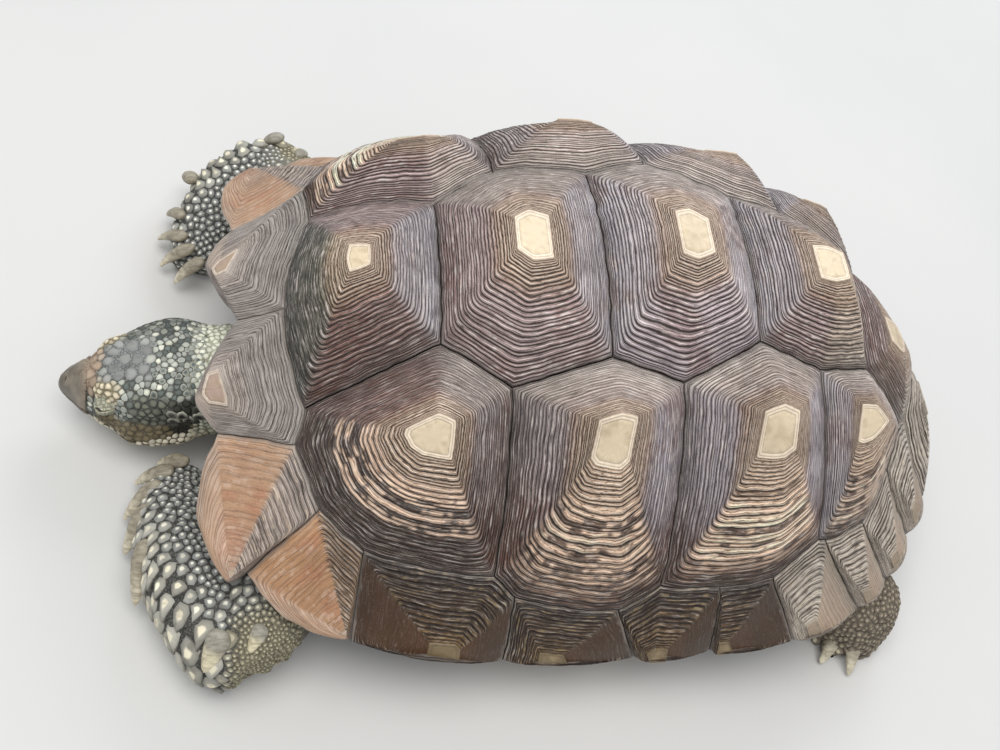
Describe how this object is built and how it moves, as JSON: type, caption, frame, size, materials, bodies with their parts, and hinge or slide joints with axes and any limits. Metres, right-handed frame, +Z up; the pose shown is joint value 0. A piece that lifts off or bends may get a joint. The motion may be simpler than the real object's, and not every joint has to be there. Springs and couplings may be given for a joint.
{
  "type": "sulcata tortoise",
  "caption": "Life-size sulcata tortoise, standing low with its head stretched forward: domed shell of ringed, peaked plates, flared rim, spurred forelegs, columnar hind legs and short tail.",
  "frame": {"origin": "middle of the box round the whole model, on the floor it stands on", "axes": "+X from head to tail, +Y to the animal's right, +Z up"},
  "size_m": [0.5454, 0.381, 0.211],
  "materials": {
    "shell_plate": "horn, semi-gloss dark brown with fine growth ridges and pale raised centres",
    "shell_rim": "horn, satin brown to orange-tan, ribbed, worn pale along the free edge",
    "belly_plate": "horn, satin yellow-tan with brown growth lines",
    "skin": "dry grey scaly skin with pale raised scales",
    "horn": "horn, satin, claws, spurs and beak",
    "eye": "wet gloss, near black"
  },
  "bodies": {
    "root": {"scute_vertebral_1": "shell_plate", "scute_vertebral_2": "shell_plate", "scute_vertebral_3": "shell_plate", "scute_vertebral_4": "shell_plate", "scute_vertebral_5": "shell_plate", "scute_costal_left_1": "shell_plate", "scute_costal_left_2": "shell_plate", "scute_costal_left_3": "shell_plate", "scute_costal_left_4": "shell_plate", "scute_costal_right_1": "shell_plate", "scute_costal_right_2": "shell_plate", "scute_costal_right_3": "shell_plate", "scute_costal_right_4": "shell_plate", "scute_marginal_left_1": "shell_rim", "scute_marginal_left_2": "shell_rim", "scute_marginal_left_3": "shell_rim", "scute_marginal_left_4": "shell_rim", "scute_marginal_left_5": "shell_rim", "scute_marginal_left_6": "shell_rim", "scute_marginal_left_7": "shell_rim", "scute_marginal_left_8": "shell_rim", "scute_marginal_left_9": "shell_rim", "scute_marginal_left_10": "shell_rim", "scute_marginal_left_11": "shell_rim", "scute_marginal_right_1": "shell_rim", "scute_marginal_right_2": "shell_rim", "scute_marginal_right_3": "shell_rim", "scute_marginal_right_4": "shell_rim", "scute_marginal_right_5": "shell_rim", "scute_marginal_right_6": "shell_rim", "scute_marginal_right_7": "shell_rim", "scute_marginal_right_8": "shell_rim", "scute_marginal_right_9": "shell_rim", "scute_marginal_right_10": "shell_rim", "scute_marginal_right_11": "shell_rim", "scute_supracaudal": "shell_rim", "plastron_gular": "belly_plate", "plastron_humeral": "belly_plate", "plastron_pectoral": "belly_plate", "plastron_abdominal": "belly_plate", "plastron_femoral": "belly_plate", "plastron_anal": "belly_plate", "trunk": "skin", "foreleg_left": "skin", "foreleg_right": "skin", "hindleg_left": "skin", "hindleg_right": "skin", "tail": "skin", "neck": "skin", "head": "skin", "beak_upper": "horn", "beak_lower": "horn", "eye_left": "eye", "eye_right": "eye"}
  },
  "joints": []
}
